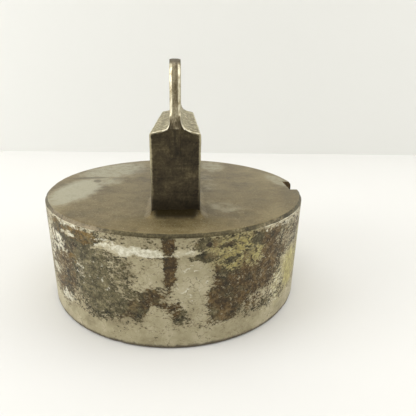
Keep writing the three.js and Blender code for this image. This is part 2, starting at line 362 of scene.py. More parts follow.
def painted_side():
    """Flaking paint over dark oxidised steel. The fields say roughly where, noise gives the edges."""
    look = new_look("painted_side")
    height = look.times(look.field("bare"), 0.55)
    for size, detail, weight, offset in EDGE_LAYERS:
        layer = look.noise(size, detail, 0.66, offset, stretch=(1, 1, 1.5))
        height = look.plus(height, layer, weight)
    flecks = look.noise(1.3, 5.0, 0.75, 93.0)
    bare = look.times(look.step(height, 1.68, 1.735), look.step(flecks, 0.62, 0.58))
    film = look.step(height, 1.5, 1.71)
    colour = look.mix(bare, old_paint_colour(look, film), bare_steel_colour(look))
    flaky = look.noise(2.0, 6.0, 0.68, 66.0, stretch=(1, 1, 1.6))
    white = look.step(look.swayed(look.field("white"), flaky, 3.2), 0.5, 0.85)
    chalk = look.mix(look.step(flecks, 0.4, 0.6), (234, 231, 213), (196, 190, 163))
    chalk = look.mix(look.field("yellow"), chalk, (206, 197, 146))
    colour = look.coat(colour, white, 0.95, chalk)
    # Painted shade: a dark band along the bottom edge of the side, where the body meets the table.
    base_shade = look.plus(look.axis("Z"), look.noise(2.0, 4.0, 0.6, 37.0), -1.6)
    colour = look.coat(colour, look.step(base_shade, 1.0, 0.0), 0.85, (62, 50, 32))
    # Rubbed pale paint with a painted highlight on it: a bright line along the side's top edge, under the
    # chamfer.
    rim = look.plus(look.axis("Z"), look.noise(3.0, 4.0, 0.7, 48.0), 1.6)
    rim = look.step(look.plus(rim, look.field("rim"), 0.6), BODY_TOP - 0.05, BODY_TOP + 0.25)
    colour = look.coat(colour, rim, 0.95, (226, 219, 192))
    hollow = look.math("MAXIMUM", *[look.near(place, 1.1) for place in PIT_PLACES])
    colour = look.mix(hollow, colour, (58, 48, 30))
    pits = look.noise(0.7, 4.0, 0.65, 9.0)
    relief = look.plus(look.math("SUBTRACT", 1.0, bare), pits, look.blend(bare, 0.25, 0.9))
    relief = look.plus(relief, hollow, -3.0)
    roughness = look.blend(bare, look.blend(pits, 0.38, 0.52), look.blend(pits, 0.42, 0.72))
    return look.finish(colour, roughness, look.times(bare, 0.3), look.bump(relief, 0.09))


def worn_top():
    """The flat top: smooth olive-brown patina on steel, greyer where it has been rubbed."""
    look = new_look("worn_top")
    cloud = look.noise(16.0, 6.0, 0.62, 17.0)
    patch = look.noise(3.0, 6.0, 0.62, 2.0)
    grain = look.noise(0.5, 4.0, 0.7, 23.0)
    rough = look.field("rough")
    soot = look.field("soot")
    tone = look.swayed(cloud, patch, 0.5)
    patina = look.ramp(tone, (0.32, (94, 80, 46)), (0.5, (121, 106, 69)), (0.68, (142, 128, 91)))
    rubbed = look.swayed(look.field("grey"), patch, 0.9)
    colour = look.mix(look.step(rubbed, 0.18, 0.85), patina, (173, 168, 144))
    # Real stains on the top; on the welds this field is painted shade that darkens them towards the bar.
    stain_and_shade = look.swayed(look.field("stain"), patch, 1.2)
    colour = look.coat(colour, look.step(stain_and_shade, 0.2, 0.9), 0.75, (84, 72, 46))
    colour = look.mix(look.step(grain, 0.5, 0.85), colour, (70, 60, 36))
    colour = look.mix(look.step(grain, 0.46, 0.15), colour, (196, 188, 158))
    # Painted shade: near-black where the front weld meets the foot of the bar, with less shine and more
    # roughness there too.
    foot_shade_amount = look.step(look.swayed(soot, patch, 1.2), 0.0, 1.0)
    colour = look.coat(colour, foot_shade_amount, 0.9, (36, 30, 16))
    flecked = look.times(look.step(grain, 0.54, 0.64), rough)
    colour = look.coat(colour, flecked, 0.55, (176, 168, 134))
    normal = look.bump(look.times(grain, look.plus(1.0, rough, 2.0)), 0.022)
    normal = look.bump(patch, 0.05, normal)
    roughness = look.plus(look.blend(cloud, 0.36, 0.5), rough, 0.2)
    roughness = look.plus(roughness, soot, 0.3)
    dulled = look.plus(0.5, soot, -0.4)
    return look.finish(colour, roughness, dulled, normal, dulled)


def worn_chamfer():
    """The chamfer round the top: dark scale, with paint and rubbed spots left here and there."""
    look = new_look("worn_chamfer")
    cloud = look.noise(6.0, 6.0, 0.65, 8.0)
    grain = look.noise(0.7, 5.0, 0.7, 6.0)
    tone = look.swayed(cloud, grain, 0.7)
    colour = look.ramp(
        tone, (0.35, (50, 44, 27)), (0.52, (84, 76, 50)), (0.64, (112, 102, 72)), (0.78, (178, 169, 138)),
    )
    pale = look.step(look.swayed(look.field("pale"), tone, 2.2), 0.4, 1.25)
    colour = look.coat(colour, pale, 0.85, (138, 125, 100))
    return look.finish(colour, look.blend(cloud, 0.35, 0.6), 0.5, look.bump(grain, 0.04))


def rusty_cut():
    """Inside the notch: rough dark rust that never gets rubbed."""
    look = new_look("rusty_cut")
    cloud = look.noise(2.5, 6.0, 0.65, 14.0)
    grain = look.noise(0.5, 5.0, 0.7, 15.0)
    tone = look.swayed(cloud, grain, 0.9)
    colour = look.ramp(tone, (0.3, (48, 36, 20)), (0.52, (88, 68, 40)), (0.76, (142, 120, 84)))
    return look.finish(colour, 0.75, 0.15, look.bump(grain, 0.12))


def ground_face(name, low, high, direction, roughness):
    """Surface-ground steel: fine parallel scratches, a few deep ones, and faint stains."""
    look = new_look(name)
    stretch = (0.03, 1.0, 1.0) if direction == "x" else (1.0, 0.03, 1.0)
    scratch = look.noise(0.22, 3.0, 0.7, 7.0, stretch=stretch)
    deep = look.step(look.noise(0.6, 2.0, 0.6, 19.0, stretch=stretch), 0.62, 0.7)
    stain = look.noise(8.0, 6.0, 0.6, 27.0)
    colour = look.mix(scratch, low, high)
    colour = look.coat(colour, look.step(stain, 0.52, 0.7), 0.55, (112, 88, 58))
    rough = look.blend(stain, roughness, roughness + 0.2)
    return look.finish(colour, rough, 0.9, look.bump(look.plus(scratch, deep, -1.4), 0.012))


def dark_bar():
    """The bar's upright faces: dark brown scale with faint milling marks, and painted shade towards the
    foot.
    """
    look = new_look("dark_bar")
    height = look.axis("Z")
    cloud = look.plus(0.15, look.noise(6.0, 6.0, 0.6, 13.0), 0.7)
    marks = look.noise(1.3, 4.0, 0.6, 3.0, stretch=(0.12, 0.2, 1.0))
    grain = look.noise(0.6, 4.0, 0.7, 1.0)
    drawn = look.noise(1.2, 4.0, 0.6, 5.0, stretch=(1.0, 1.0, 0.12))
    tone = cloud
    for layer, weight in ((marks, 0.32), (drawn, 0.18), (grain, 0.5)):
        tone = look.swayed(tone, layer, weight)
    scale = look.ramp(
        tone, (0.34, (42, 35, 22)), (0.5, (70, 61, 42)), (0.62, (94, 84, 60)), (0.78, (126, 115, 86)),
    )
    seam = look.step(look.math("ABSOLUTE", look.swayed(look.axis("X"), cloud, 5.0)), 0.7, 0.1)
    seam = look.times(seam, look.step(height, PLATE_BOTTOM - 3.0, PLATE_BOTTOM + 2.0))
    scale = look.coat(scale, seam, 0.6, (30, 25, 16))
    # Painted shade: the faces grow darker towards the foot of the bar.
    foot = look.step(height, BODY_TOP + 9.0, BODY_TOP + 2.0)
    scale = look.coat(scale, foot, 0.65, (34, 28, 18))
    # Rubbed bright metal on the rounded edges, with a painted highlight that fades out towards the foot.
    rub = look.swayed(look.swayed(look.field("edge"), grain, 1.1), cloud, 1.2)
    rub = look.times(look.step(rub, 0.2, 1.15), look.step(height, BODY_TOP + 1, BODY_TOP + 22))
    colour = look.coat(scale, rub, 0.85, (180, 170, 138))
    roughness = look.blend(rub, look.blend(cloud, 0.4, 0.6), 0.32)
    return look.finish(colour, roughness, 0.6, look.bump(look.plus(marks, grain, 0.5), 0.04))


def dressed_weld():
    """Metal dressed with a hand grinder: short scratches and dapples, brightest along the edges."""
    look = new_look("dressed_weld")
    cloud = look.noise(2.6, 6.0, 0.7, 41.0)
    scratch = look.noise(1.2, 5.0, 0.72, 11.0, stretch=(1.0, 0.55, 0.8))
    colour = look.ramp(
        look.swayed(cloud, scratch, 1.7),
        (0.34, (95, 84, 49)), (0.5, (141, 129, 87)),
        (0.64, (182, 171, 131)), (0.8, (228, 221, 192)),
    )
    rub = look.swayed(look.field("rub"), scratch, 1.2)
    colour = look.mix(look.step(rub, 0.4, 1.0), colour, (222, 215, 190))
    relief = look.plus(scratch, cloud, 1.5)
    return look.finish(colour, look.blend(scratch, 0.34, 0.55), 0.65, look.bump(relief, 0.08))


def plate_side():
    """The plate: brown oxide over grey steel, with the scratches that a hook leaves."""
    look = new_look("plate_side")
    cloud = look.noise(8.0, 6.0, 0.62, 51.0)
    scratch = look.noise(0.5, 3.0, 0.7, 21.0, stretch=(1.0, 0.35, 1.0))
    tone = look.swayed(cloud, scratch, 0.5)
    colour = look.ramp(tone, (0.32, (94, 82, 56)), (0.52, (130, 118, 89)), (0.76, (172, 163, 136)))
    return look.finish(colour, look.blend(cloud, 0.34, 0.55), 0.7, look.bump(scratch, 0.03))


def plate_edge():
    """The plate's narrow edges, darker than its bevels, with painted shade darkening them along the top.
    """
    look = new_look("plate_edge")
    cloud = look.noise(1.5, 6.0, 0.66, 61.0, stretch=(1.0, 0.5, 0.35))
    grain = look.noise(0.5, 4.0, 0.7, 62.0)
    height = look.axis("Z")
    tone = look.swayed(cloud, grain, 0.5)
    colour = look.ramp(tone, (0.34, (98, 86, 60)), (0.5, (146, 134, 106)), (0.7, (192, 183, 156)))
    spots = look.ramp(cloud, (0.4, (66, 56, 36)), (0.5, (104, 92, 66)), (0.6, (190, 181, 154)))
    colour = look.coat(colour, look.step(height, BAR_CROWN + 5.0, BAR_CROWN + 2.0), 0.8, spots)
    # Painted shade: a dark band along the top edge of the plate.
    top = look.step(height, PLATE_TOP - 1.9, PLATE_TOP - 0.8)
    colour = look.coat(colour, top, 0.85, (66, 55, 38))
    return look.finish(colour, 0.5, 0.3, look.bump(grain, 0.03))


def bright_bevel():
    """Bevels rubbed bright by slings and hooks, with painted shade darkening them along the top."""
    look = new_look("bright_bevel")
    cloud = look.noise(1.6, 6.0, 0.68, 71.0)
    rubbed = ((0.38, (214, 208, 184)), (0.54, (190, 181, 153)), (0.66, (128, 114, 84)))
    # Painted shade along the top of the bevels.
    top = look.step(look.axis("Z"), PLATE_TOP - 1.9, PLATE_TOP - 0.9)
    colour = look.coat(look.ramp(cloud, *rubbed), top, 0.9, (72, 62, 45))
    return look.finish(colour, look.blend(cloud, 0.28, 0.45), 0.8, look.bump(cloud, 0.05))


def tarnished_brass():
    look = new_look("tarnished_brass")
    cloud = look.noise(6.0, 6.0, 0.6, 81.0)
    scratch = look.noise(0.3, 3.0, 0.7, 82.0, stretch=(0.05, 1.0, 1.0))
    colour = look.mix(cloud, (128, 104, 58), (186, 158, 96))
    return look.finish(colour, look.blend(cloud, 0.32, 0.55), 0.9, look.bump(scratch, 0.015))


def sintered_ferrite():
    look = new_look("sintered_ferrite")
    grain = look.noise(0.5, 5.0, 0.7, 91.0)
    colour = look.mix(grain, (48, 48, 52), (78, 77, 80))
    return look.finish(colour, 0.75, 0.1, look.bump(grain, 0.03))


def cast_resin():
    look = new_look("cast_resin")
    cloud = look.noise(5.0, 5.0, 0.6, 95.0)
    colour = look.mix(cloud, (104, 36, 24), (136, 62, 42))
    return look.finish(colour, 0.45, 0.0, look.bump(cloud, 0.08))


# ---- Mesh helpers ----


def new_object(name, vertices, faces, flat_above=35.0):
    """A mesh object from millimetres, smooth except across edges sharper than flat_above."""
    mesh = bpy.data.meshes.new(name)
    mesh.from_pydata([tuple(c * MM for c in v) for v in vertices], [], faces)
    piece = placed(name, mesh)
    close_up(piece, flat_above)
    return piece


def object_of(name, work):
    """The same from a finished bmesh, whose lengths are metres."""
    mesh = bpy.data.meshes.new(name)
    work.to_mesh(mesh)
    work.free()
    return placed(name, mesh)


def close_up(piece, flat_above=35.0):
    """Merges doubles, turns faces outwards and sets the shading."""
    work = bmesh.new()
    work.from_mesh(piece.data)
    bmesh.ops.remove_doubles(work, verts=work.verts, dist=1e-7)
    put_back(piece, work, flat_above)


def put_back(piece, work, flat_above=35.0):
    """Gives a piece its edited mesh, with faces turned outwards and the shading set."""
    bmesh.ops.recalc_face_normals(work, faces=work.faces)
    work.to_mesh(piece.data)
    work.free()
    piece.data.polygons.foreach_set("use_smooth", [True] * len(piece.data.polygons))
    piece.data.set_sharp_from_angle(angle=math.radians(flat_above))


def read_vertices(piece, what="co"):
    """The mesh's vertices, or their normals, one row each."""
    flat = np.zeros(len(piece.data.vertices) * 3)
    piece.data.vertices.foreach_get(what, flat)
    return flat.reshape(-1, 3)


def vertex_array(piece):
    """The same, in millimetres."""
    return read_vertices(piece) / MM


def move_vertices(piece, points):
    piece.data.vertices.foreach_set("co", (points * MM).ravel())


def set_field(piece, name, values):
    layer = piece.data.attributes.new(name, "FLOAT", "POINT")
    layer.data.foreach_set("value", np.asarray(values, np.float32))


def rounded_path(corners):
    """A polyline through corners (x, y, size), each corner with a size rounded by a curve
    that starts that far before it."""
    path = [corners[0][:2]]
    for before, corner, after in zip(corners, corners[1:], corners[2:]):
        middle = Vector(corner[:2])
        size = corner[2]
        if size == 0:
            path.append(corner[:2])
            continue
        start = middle + (Vector(before[:2]) - middle).normalized() * size
        end = middle + (Vector(after[:2]) - middle).normalized() * size
        for i in range(4):
            t = i / 3
            point = start * (1 - t) ** 2 + middle * 2 * t * (1 - t) + end * t * t
            path.append(tuple(point))
    path.append(corners[-1][:2])
    return path


def with_rows(path, spacing):
    """The same polyline with points added so that none are further apart than spacing."""
    dense = [path[0]]
    for (x0, y0), (x1, y1) in zip(path, path[1:]):
        count = max(1, round(math.hypot(x1 - x0, y1 - y0) / spacing))
        for i in range(1, count + 1):
            dense.append((x0 + (x1 - x0) * i / count, y0 + (y1 - y0) * i / count))
    return dense


def hollow_fillet(out, up, hollow, steps):
    """A fillet's curve from its toe (out, 0) to its top (0, up); a smaller hollow dips deeper."""
    curve = []
    for i in range(steps + 1):
        t = i / steps
        middle = 2 * t * (1 - t) * hollow
        curve.append((out * ((1 - t) ** 2 + middle), up * (t * t + middle)))
    return curve


def lofted(name, rings, flat_above):
    """A solid through rings of points, closed at both ends."""
    size = len(rings[0])
    vertices = [point for ring in rings for point in ring]
    last = len(vertices) - size
    faces = []
    for start in range(0, last, size):
        for i in range(size):
            a = start + i
            b = start + (i + 1) % size
            faces.append((a, b, b + size, a + size))
    faces += [tuple(range(size)), tuple(range(last, last + size))]
    return new_object(name, vertices, faces, flat_above)


def turned(name, profile, steps=ROUND_STEPS, closed=False):
    """Turns (radius, height) points about Z. An open profile starts and ends on the axis."""
    circle = [2 * math.pi * i / steps for i in range(steps)]
    vertices = []
    rows = []
    for radius, height in profile:
        angles = circle if radius > 1e-6 else [0]
        rows.append([len(vertices) + i % len(angles) for i in range(steps)])
        vertices += [(radius * math.cos(a), radius * math.sin(a), height) for a in angles]
    if closed:
        rows.append(rows[0])
    faces = []
    for lower, upper in zip(rows, rows[1:]):
        for i in range(steps):
            j = (i + 1) % steps
            faces.append(list(dict.fromkeys([lower[i], lower[j], upper[j], upper[i]])))
    return new_object(name, vertices, faces)


def cut_with(piece, tool):
    """Takes a tool's solid out of a piece, and removes the tool."""
    modifier = piece.modifiers.new("cut", "BOOLEAN")
    modifier.operation = "DIFFERENCE"
    modifier.solver = "EXACT"
    modifier.object = tool
    bpy.context.view_layer.update()
    graph = bpy.context.evaluated_depsgraph_get()
    result = bpy.data.meshes.new_from_object(piece.evaluated_get(graph))
    piece.modifiers.clear()
    piece.data = result
    bpy.data.objects.remove(tool)


def dense_box(name, low, high, radius, spacing):
    """A box whose faces are fine grids and whose edges and corners are rounded to radius."""
    work = bmesh.new()
    bmesh.ops.create_cube(work, size=2.0)
    for a in range(3):
        cuts = max(1, round((high[a] - low[a]) / spacing)) - 1
        edges = [e for e in work.edges if abs(e.verts[0].co[a] - e.verts[1].co[a]) > 1e-6]
        bmesh.ops.subdivide_edges(work, edges=edges, cuts=cuts, use_grid_fill=True)
    for vertex in work.verts:
        point = Vector([l + (c + 1) / 2 * (h - l) for c, l, h in zip(vertex.co, low, high)])
        core = Vector([min(max(p, l + radius), h - radius) for p, l, h in zip(point, low, high)])
        out = point - core
        if out.length > 1e-9:
            point = core + out.normalized() * min(radius, out.length)
        vertex.co = point * MM
    piece = object_of(name, work)
    close_up(piece)
    return piece


def plain_tool(name, low, high):
    """A box used only to cut with."""
    work = bmesh.new()
    bmesh.ops.create_cube(work, size=1.0)
    centre = (Vector(low) + Vector(high)) / 2
    size = Vector(high) - Vector(low)
    for vertex in work.verts:
        vertex.co = (centre + vertex.co * size) * MM
    return object_of(name, work)


def settle(piece, node, slot, *materials):
    """Gives a piece its materials and puts it on the body in place of its CAD node."""
    for material in materials:
        piece.data.materials.append(material)
    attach(piece, "root")
    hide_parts(node)


# ---- Wear fields of the body, one of them holding a painted highlight ----


# Patches of the side: angle round the body and height of the middle (degrees, millimetres),
# half its width and half its height, and how bare it is: 1 is bare steel, 0 sound paint.
BARE_PATCHES = [
    (-118, 21, 11, 12, 0.95), (-140, 19, 12, 10, 0.76), (-135, 30, 9, 5, 0.9),
    (-142, 30, 6, 4.5, 0.7), (-137, 27, 3, 2.5, 0.6), (-130, 35.5, 14, 2.8, 1.1),
    (-132, 35, 5, 0.8, 0.3), (-139, 10, 6, 3, 0.5), (-147, 18, 5, 2.4, 0.6),
    (-127, 24, 2.4, 4, 0.75), (-103, 27, 9, 5.0, 0.05), (-109, 27, 5, 7.0, 0.46),
    (-103, 37.3, 10, 1.6, 0.12), (-113, 36.5, 3, 1.5, 0.6), (-107, 14, 5, 3.2, 0.85),
    (-106, 19.5, 4, 2.6, 0.7), (-99, 19, 3.4, 2.8, 1.2), (-103, 14.5, 3.2, 2.8, 1.1),
    (-101, 11, 3, 1.6, 0.85), (-91, 16, 4.5, 1.6, 0.8), (-88, 13.4, 3, 1.2, 0.78),
    (-88, 10.8, 3.4, 1.2, 0.72), (-84, 24, 5.5, 9, -0.1), (-82, 14, 4, 4, 0.15),
    (-97, 10, 4.5, 4.5, 0.0), (-92, 31, 2.0, 8.6, 1.2), (-80, 32.4, 4.5, 1.3, 1.1),
    (-79, 36.5, 4, 2, 0.95), (-74, 28.5, 2, 3, 1.0), (-67, 32.5, 9, 5.5, 0.35),
    (-70, 31, 3, 0.9, 0.9), (-72, 35.5, 3, 0.9, 0.9), (-58, 36.5, 4, 2.0, 1.0),
    (-67, 25.5, 8, 2, 1.0), (-71, 17.5, 7, 8, 1.1), (-60, 21, 13, 6.5, 0.85),
    (-49, 30.5, 8, 6.5, 0.9), (-60, 12, 8, 4, 0.52), (-54, 9, 5, 3.4, 0.65), (-36, 18, 8, 7.5, 0.0),
    (-46, 14, 5, 6, 0.5), (-36, 33, 12, 6, 0.5), (-18, 24, 8, 7, 0.2), (-106, 34.2, 13, 1.1, -0.4),
    (-86, 34.6, 5, 1.2, -0.2),
]
YELLOW_PATCHES = [
    (-66, 32.5, 11, 6.5, 0.9), (-76, 36, 6, 3, 0.7), (-35, 18, 10, 8, 1.0), (-18, 24, 9, 9, 0.7),
    (-45, 16, 5, 9, 0.5),
]
WHITE_PATCHES = [
    (-149, 27, 5, 8, 0.6), (-141, 30, 6, 4.5, 0.74), (-147, 18, 4, 2.0, 0.8),
    (-132, 35, 5, 1.2, 0.66), (-131, 38.7, 15, 0.9, 0.62), (-138, 10.5, 6, 2.6, 0.75),
    (-127, 24, 2.2, 4.5, 0.5), (-118, 24, 8, 8, 0.25), (-117, 36.2, 5, 0.8, 0.6),
    (-113, 34.8, 6, 0.8, 0.85), (-103, 34.0, 10, 1.2, 1.3), (-86, 34.6, 5, 1.6, 0.7),
    (-84, 24, 7, 9, 0.26), (-46, 14, 5, 8, 0.55), (-41, 23, 4, 4, 0.45), (-43, 38, 16, 1.0, 0.5),
]
RUST_PATCHES = [
    (-142, 20, 12, 12, 0.55), (-131, 36.5, 17, 3.2, 0.7), (-92, 30, 3, 9, 0.5),
    (-132, 27, 5, 1.6, 0.75), (-101, 11, 3, 2, 0.6), (-91, 16, 5, 2, 0.6), (-97, 19, 3, 2.4, 0.3),
    (-60, 17, 4, 3, 0.5),
]
BROWN_PATCHES = [
    (-142, 20, 13, 14, 0.45), (-118, 22, 11, 12, -0.5), (-30, 31, 16, 8, 0.3),
    (-62, 20, 22, 9, 0.55), (-95, 16, 9, 5, 0.5), (-92, 30, 3, 9, 0.8), (-50, 32, 9, 6, 0.5),
]
# Where the painted highlight along the side's top edge lies, in the same columns as the lists above.
RIM_HIGHLIGHT_PATCHES = [(-44, 39, 18, 4, 1.0), (-136, 39, 14, 4, 0.8), (60, 39, 40, 4, 0.7), (165, 39, 15, 4, 0.9)]
PALE_CHAMFER_PATCHES = [
    (-131, 40, 18, 5, 1.0), (-45, 40, 15, 5, 0.6), (40, 40, 20, 5, 0.6), (120, 40, 12, 5, 0.9),
]
CLEAN_HEIGHT = 6.5
HIDDEN_PATCH_COUNT = 60


def patched(angle, height, patches, start=0.0):
    """Lays patches over each other in order. Each is 1 inside and falls smoothly to 0."""
    value = np.full(angle.shape, start)
    for middle, level, half_width, half_height, strength in patches:
        turn = (angle - middle + 180) % 360 - 180
        reach = np.hypot(turn / half_width, (height - level) / half_height)
        share = 1 - np.clip((reach - 0.7) / 0.6, 0, 1)
        value = value * (1 - share) + strength * share
    return value


def hidden_patches(seed, count, lowest, widths, heights, strength):
    """The same kind of patches on the half of the body that faces away from the camera."""
    chance = random.Random(seed)
    return [
        (
            chance.uniform(-2, 200),
            chance.uniform(lowest, 38),
            chance.uniform(*widths),
            chance.uniform(*heights),
            strength(chance),
        )
        for _ in range(count)
    ]


def shaken(points, size, reach, seed):
    """Points moved about by smooth noise, so that patches laid over them get ragged outlines."""
    noise.seed_set(seed)
    offsets = [noise.noise_vector(Vector(point) / size + Vector((seed, 0, 0))) for point in points]
    finer = [noise.noise_vector(Vector(point) / size * 2.7 + Vector((0, seed, 0))) for point in points]
    return points + (np.array(offsets) + np.array(finer) * 0.5) * reach


def add_side_fields(piece):
    moved = shaken(vertex_array(piece), 5.0, 1.3, 4)
    angle = np.degrees(np.arctan2(moved[:, 1], moved[:, 0]))
    height = moved[:, 2]
    wear = hidden_patches(
        7, HIDDEN_PATCH_COUNT, 8, (3, 12), (1.5, 7),
        lambda chance: chance.choice((0.1, 0.2, 0.9, 1.0, 1.1)),
    )
    bare = patched(angle, height, wear + BARE_PATCHES, 0.35)
    sound = np.clip((CLEAN_HEIGHT + 2.5 - height) / 3, 0, 1)
    set_field(piece, "bare", bare * (1 - sound))
    for name, seed, count, patches in (
        ("yellow", 21, 4, YELLOW_PATCHES),
        ("white", 22, 6, WHITE_PATCHES),
        ("rust", 23, 7, RUST_PATCHES),
        ("brown", 24, 8, BROWN_PATCHES),
        ("rim", 25, 0, RIM_HIGHLIGHT_PATCHES),
        ("pale", 26, 0, PALE_CHAMFER_PATCHES),
    ):
        tint = hidden_patches(seed, count, 12, (5, 14), (2, 6), lambda chance: chance.uniform(0.4, 0.9))
        set_field(piece, name, patched(angle, height, tint + patches))


# Patches of the top: middle, half sizes, turn in degrees and strength.
GREY_PATCHES = [
    (-39, -8, 8.5, 20, -10, 0.95), (-30, 5, 9, 7, 20, 0.6), (-30, 24, 15, 22, -30, 0.62),
    (17, 34, 7.5, 14, 0, 0.5), (45, 8, 5, 14, 10, 0.55), (17, -27, 9, 6, -40, 0.4),
    (13, 5, 5, 20, 0, 0.32),
]
STAIN_PATCHES = [
    (-34, 5.5, 1.8, 2.4, 20, 1.1), (-38, 10.5, 9, 1.5, 8, 0.9), (-26, 9, 4, 3, -20, 0.5),
    (-19, 22, 5, 6, 0, 0.35), (-18, -20, 10, 16, -20, 0.2), (28, -14, 14, 18, 0, 0.35),
    (29, 34, 4, 10, 20, 0.35), (45, -18, 7, 26, -20, 0.5),
]
ROUGH_PATCHES = [(0, -43, 17, 8, 0, 1.0)]


def add_top_fields(piece):
    points = vertex_array(piece)
    for name, patches in (("grey", GREY_PATCHES), ("stain", STAIN_PATCHES), ("rough", ROUGH_PATCHES)):
        value = np.zeros(len(points))
        for x, y, half_x, half_y, turn, strength in patches:
            cosine = math.cos(math.radians(turn))
            sine = math.sin(math.radians(turn))
            along = (points[:, 0] - x) * cosine + (points[:, 1] - y) * sine
            across = (points[:, 1] - y) * cosine - (points[:, 0] - x) * sine
            reach = np.hypot(along / half_x, across / half_y)
            value = np.maximum(value, strength * (1 - np.clip((reach - 0.55) / 0.75, 0, 1)))
        set_field(piece, name, value)


# ---- Pieces ----


def make_shell(top):
    """The turned cup with its notch, rounded edges and small nicks round its rims."""
    hole_top = CAVITY_TOP + 7.5
    wall_middle = (CAVITY_RADIUS + BODY_RADIUS) / 2
    inside = rounded_path([
        (0, hole_top, 0), (SHANK_HOLE, hole_top, 0), (SHANK_HOLE, CAVITY_TOP, 0),
        (CAVITY_RADIUS, CAVITY_TOP, 0.5), (CAVITY_RADIUS, 0, 0.3), (wall_middle, 0, 0),
    ])
    outside = rounded_path([
        (wall_middle, 0, 0), (BODY_RADIUS - RIM_CHAMFER, 0, 0.15), (BODY_RADIUS, RIM_CHAMFER, 0.2),
        (BODY_RADIUS, BODY_TOP - TOP_CHAMFER, 0.25), (BODY_RADIUS - TOP_CHAMFER, BODY_TOP, 0.25),
        (0, BODY_TOP, 0),
    ])
    shell = turned("shell_body", inside[:-1] + with_rows(outside, 0.7))
    nick_rims(shell)
    half = NOTCH_WIDTH / 2
    low = (NOTCH_WALL, -half, NOTCH_FLOOR)
    high = (BODY_RADIUS + 5, half, BODY_TOP + 5)
    cut_with(shell, plain_tool("notch_tool", low, high))
    soften_notch(shell)
    add_side_fields(shell)
    add_top_fields(shell)
    ground = ground_face("ground_rim", (150, 144, 132), (196, 190, 178), "x", 0.3)
    give_shell_zones(shell)
    settle(shell, "pot_shell", "painted_shell", painted_side(), top, worn_chamfer(), rusty_cut(), ground)


def nick_rims(shell):
    """Pushes small dents into the top chamfer and the bottom edge."""
    chance = random.Random(11)
    points = vertex_array(shell)
    radius = np.hypot(points[:, 0], points[:, 1])
    angle = np.arctan2(points[:, 1], points[:, 0])
    push = np.zeros(len(points))
    for _ in range(70):
        level = chance.choice((BODY_TOP - TOP_CHAMFER, BODY_TOP - TOP_CHAMFER, RIM_CHAMFER))
        turn = chance.uniform(-math.pi, math.pi)
        level += chance.uniform(-0.4, 0.4)
        size = chance.uniform(0.5, 1.6)
        depth = chance.uniform(0.05, 0.22)
        along = ((angle - turn + math.pi) % (2 * math.pi) - math.pi) * BODY_RADIUS
        reach = (along / size) ** 2 + ((points[:, 2] - level) / (size * 0.7)) ** 2
        push += np.where(radius > BODY_RADIUS - 2, depth * np.exp(-reach), 0)
    points[:, :2] *= (1 - push / np.maximum(radius, 1))[:, None]
    move_vertices(shell, points)


def soften_notch(shell):
    """Breaks the sharp edges that the notch cut leaves."""
    work = bmesh.new()
    work.from_mesh(shell.data)
    bmesh.ops.remove_doubles(work, verts=work.verts, dist=0.02 * MM)
    edges = []
    for edge in work.edges:
        middle = (edge.verts[0].co + edge.verts[1].co) / 2 / MM
        if in_notch(middle, 0.1) and len(edge.link_faces) == 2:
            if edge.calc_face_angle(0) > math.radians(40):
                edges.append(edge)
    bmesh.ops.bevel(
        work, geom=edges, offset=0.18 * MM, segments=2, profile=0.5, affect="EDGES", clamp_overlap=True,
    )
    put_back(shell, work)


def in_notch(point, margin):
    """Whether a point is inside the notch, or within a margin of its walls."""
    wide = abs(point.y) < NOTCH_WIDTH / 2 + margin
    return wide and point.x > NOTCH_WALL - margin and point.z > NOTCH_FLOOR - margin


def give_shell_zones(shell):
    """Gives each face the material of its zone: side, top, chamfer, notch or ground rim."""
    side, top, chamfer, notch, rim = range(5)
    for face in shell.data.polygons:
        middle = face.center / MM
        height = middle.z
        radius = math.hypot(middle.x, middle.y)
        if in_notch(middle, 0.02):
            face.material_index = notch
        elif height > BODY_TOP - 0.08 and radius < BODY_RADIUS - TOP_CHAMFER + 0.1:
            face.material_index = top
        elif height > BODY_TOP - TOP_CHAMFER - 0.05:
            face.material_index = chamfer
        elif height < 0.02:
            face.material_index = rim
        elif radius < CAVITY_RADIUS + 0.5:
            face.material_index = notch
        else:
            face.material_index = side


def make_block(dark, dressed):
    """The bar, its edges rubbed round, its top ground to a low crown, its slot cut out."""
    low = (-BAR_SIDE, -BAR_END, BODY_TOP)
    high = (BAR_SIDE, BAR_END, BAR_CROWN)
    block = dense_box("bar_block", low, high, BAR_ROUNDING, 0.45)
    points = vertex_array(block)
    middle = (BODY_TOP + BAR_CROWN) / 2
    upper = np.clip((points[:, 2] - middle) / (BAR_CROWN - middle), 0, 1)
    points[:, 2] -= crown_fall(points[:, 0]) * upper
    move_vertices(block, points)
    wear_down(block, 0.12, 5.0)
    slot_low = (-PLATE_HALF - SLOT_PLAY, -BAR_END - 5, PLATE_BOTTOM - SLOT_PLAY)
    slot_high = (PLATE_HALF + SLOT_PLAY, BAR_END + 5, BAR_CROWN + 5)
    cut_with(block, plain_tool("slot_tool", slot_low, slot_high))
    close_up(block)
    points = vertex_array(block)
    set_field(block, "edge", block_edge_wear(points, 0.5))
    set_field(block, "rub", block_edge_wear(points, 0.35))
    for face in block.data.polygons:
        high_up = face.center.z / MM > BAR_CROWN - CROWN_RISE - 0.6
        face.material_index = int(high_up and face.normal.z > 0.6)
    settle(block, "lug_block", "dark_bar_steel", dark, dressed)


def wear_down(piece, depth, size):
    """Pulls the surface inwards a little, unevenly, as filing and knocks do."""
    points = vertex_array(piece)
    normals = read_vertices(piece, "normal")
    for i, point in enumerate(points):
        amount = 0.5 + 0.5 * noise.fractal(Vector(point) / size, 0.8, 2.0, 4)
        points[i] = point - normals[i] * depth * min(max(amount, 0), 1)
    move_vertices(piece, points)


def block_edge_wear(points, reach):
    """1 on the bar's rounded edges, 0 from a little beyond reach inside each face."""
    inner_x = BAR_SIDE - np.abs(points[:, 0])
    inner_y = BAR_END - np.abs(points[:, 1])
    inner_z = BAR_CROWN - crown_fall(points[:, 0]) - points[:, 2]
    nearest = np.sort(np.stack([inner_x, inner_y, inner_z]), axis=0)
    return 1 - np.clip((nearest[1] - reach) / 0.6, 0, 1)


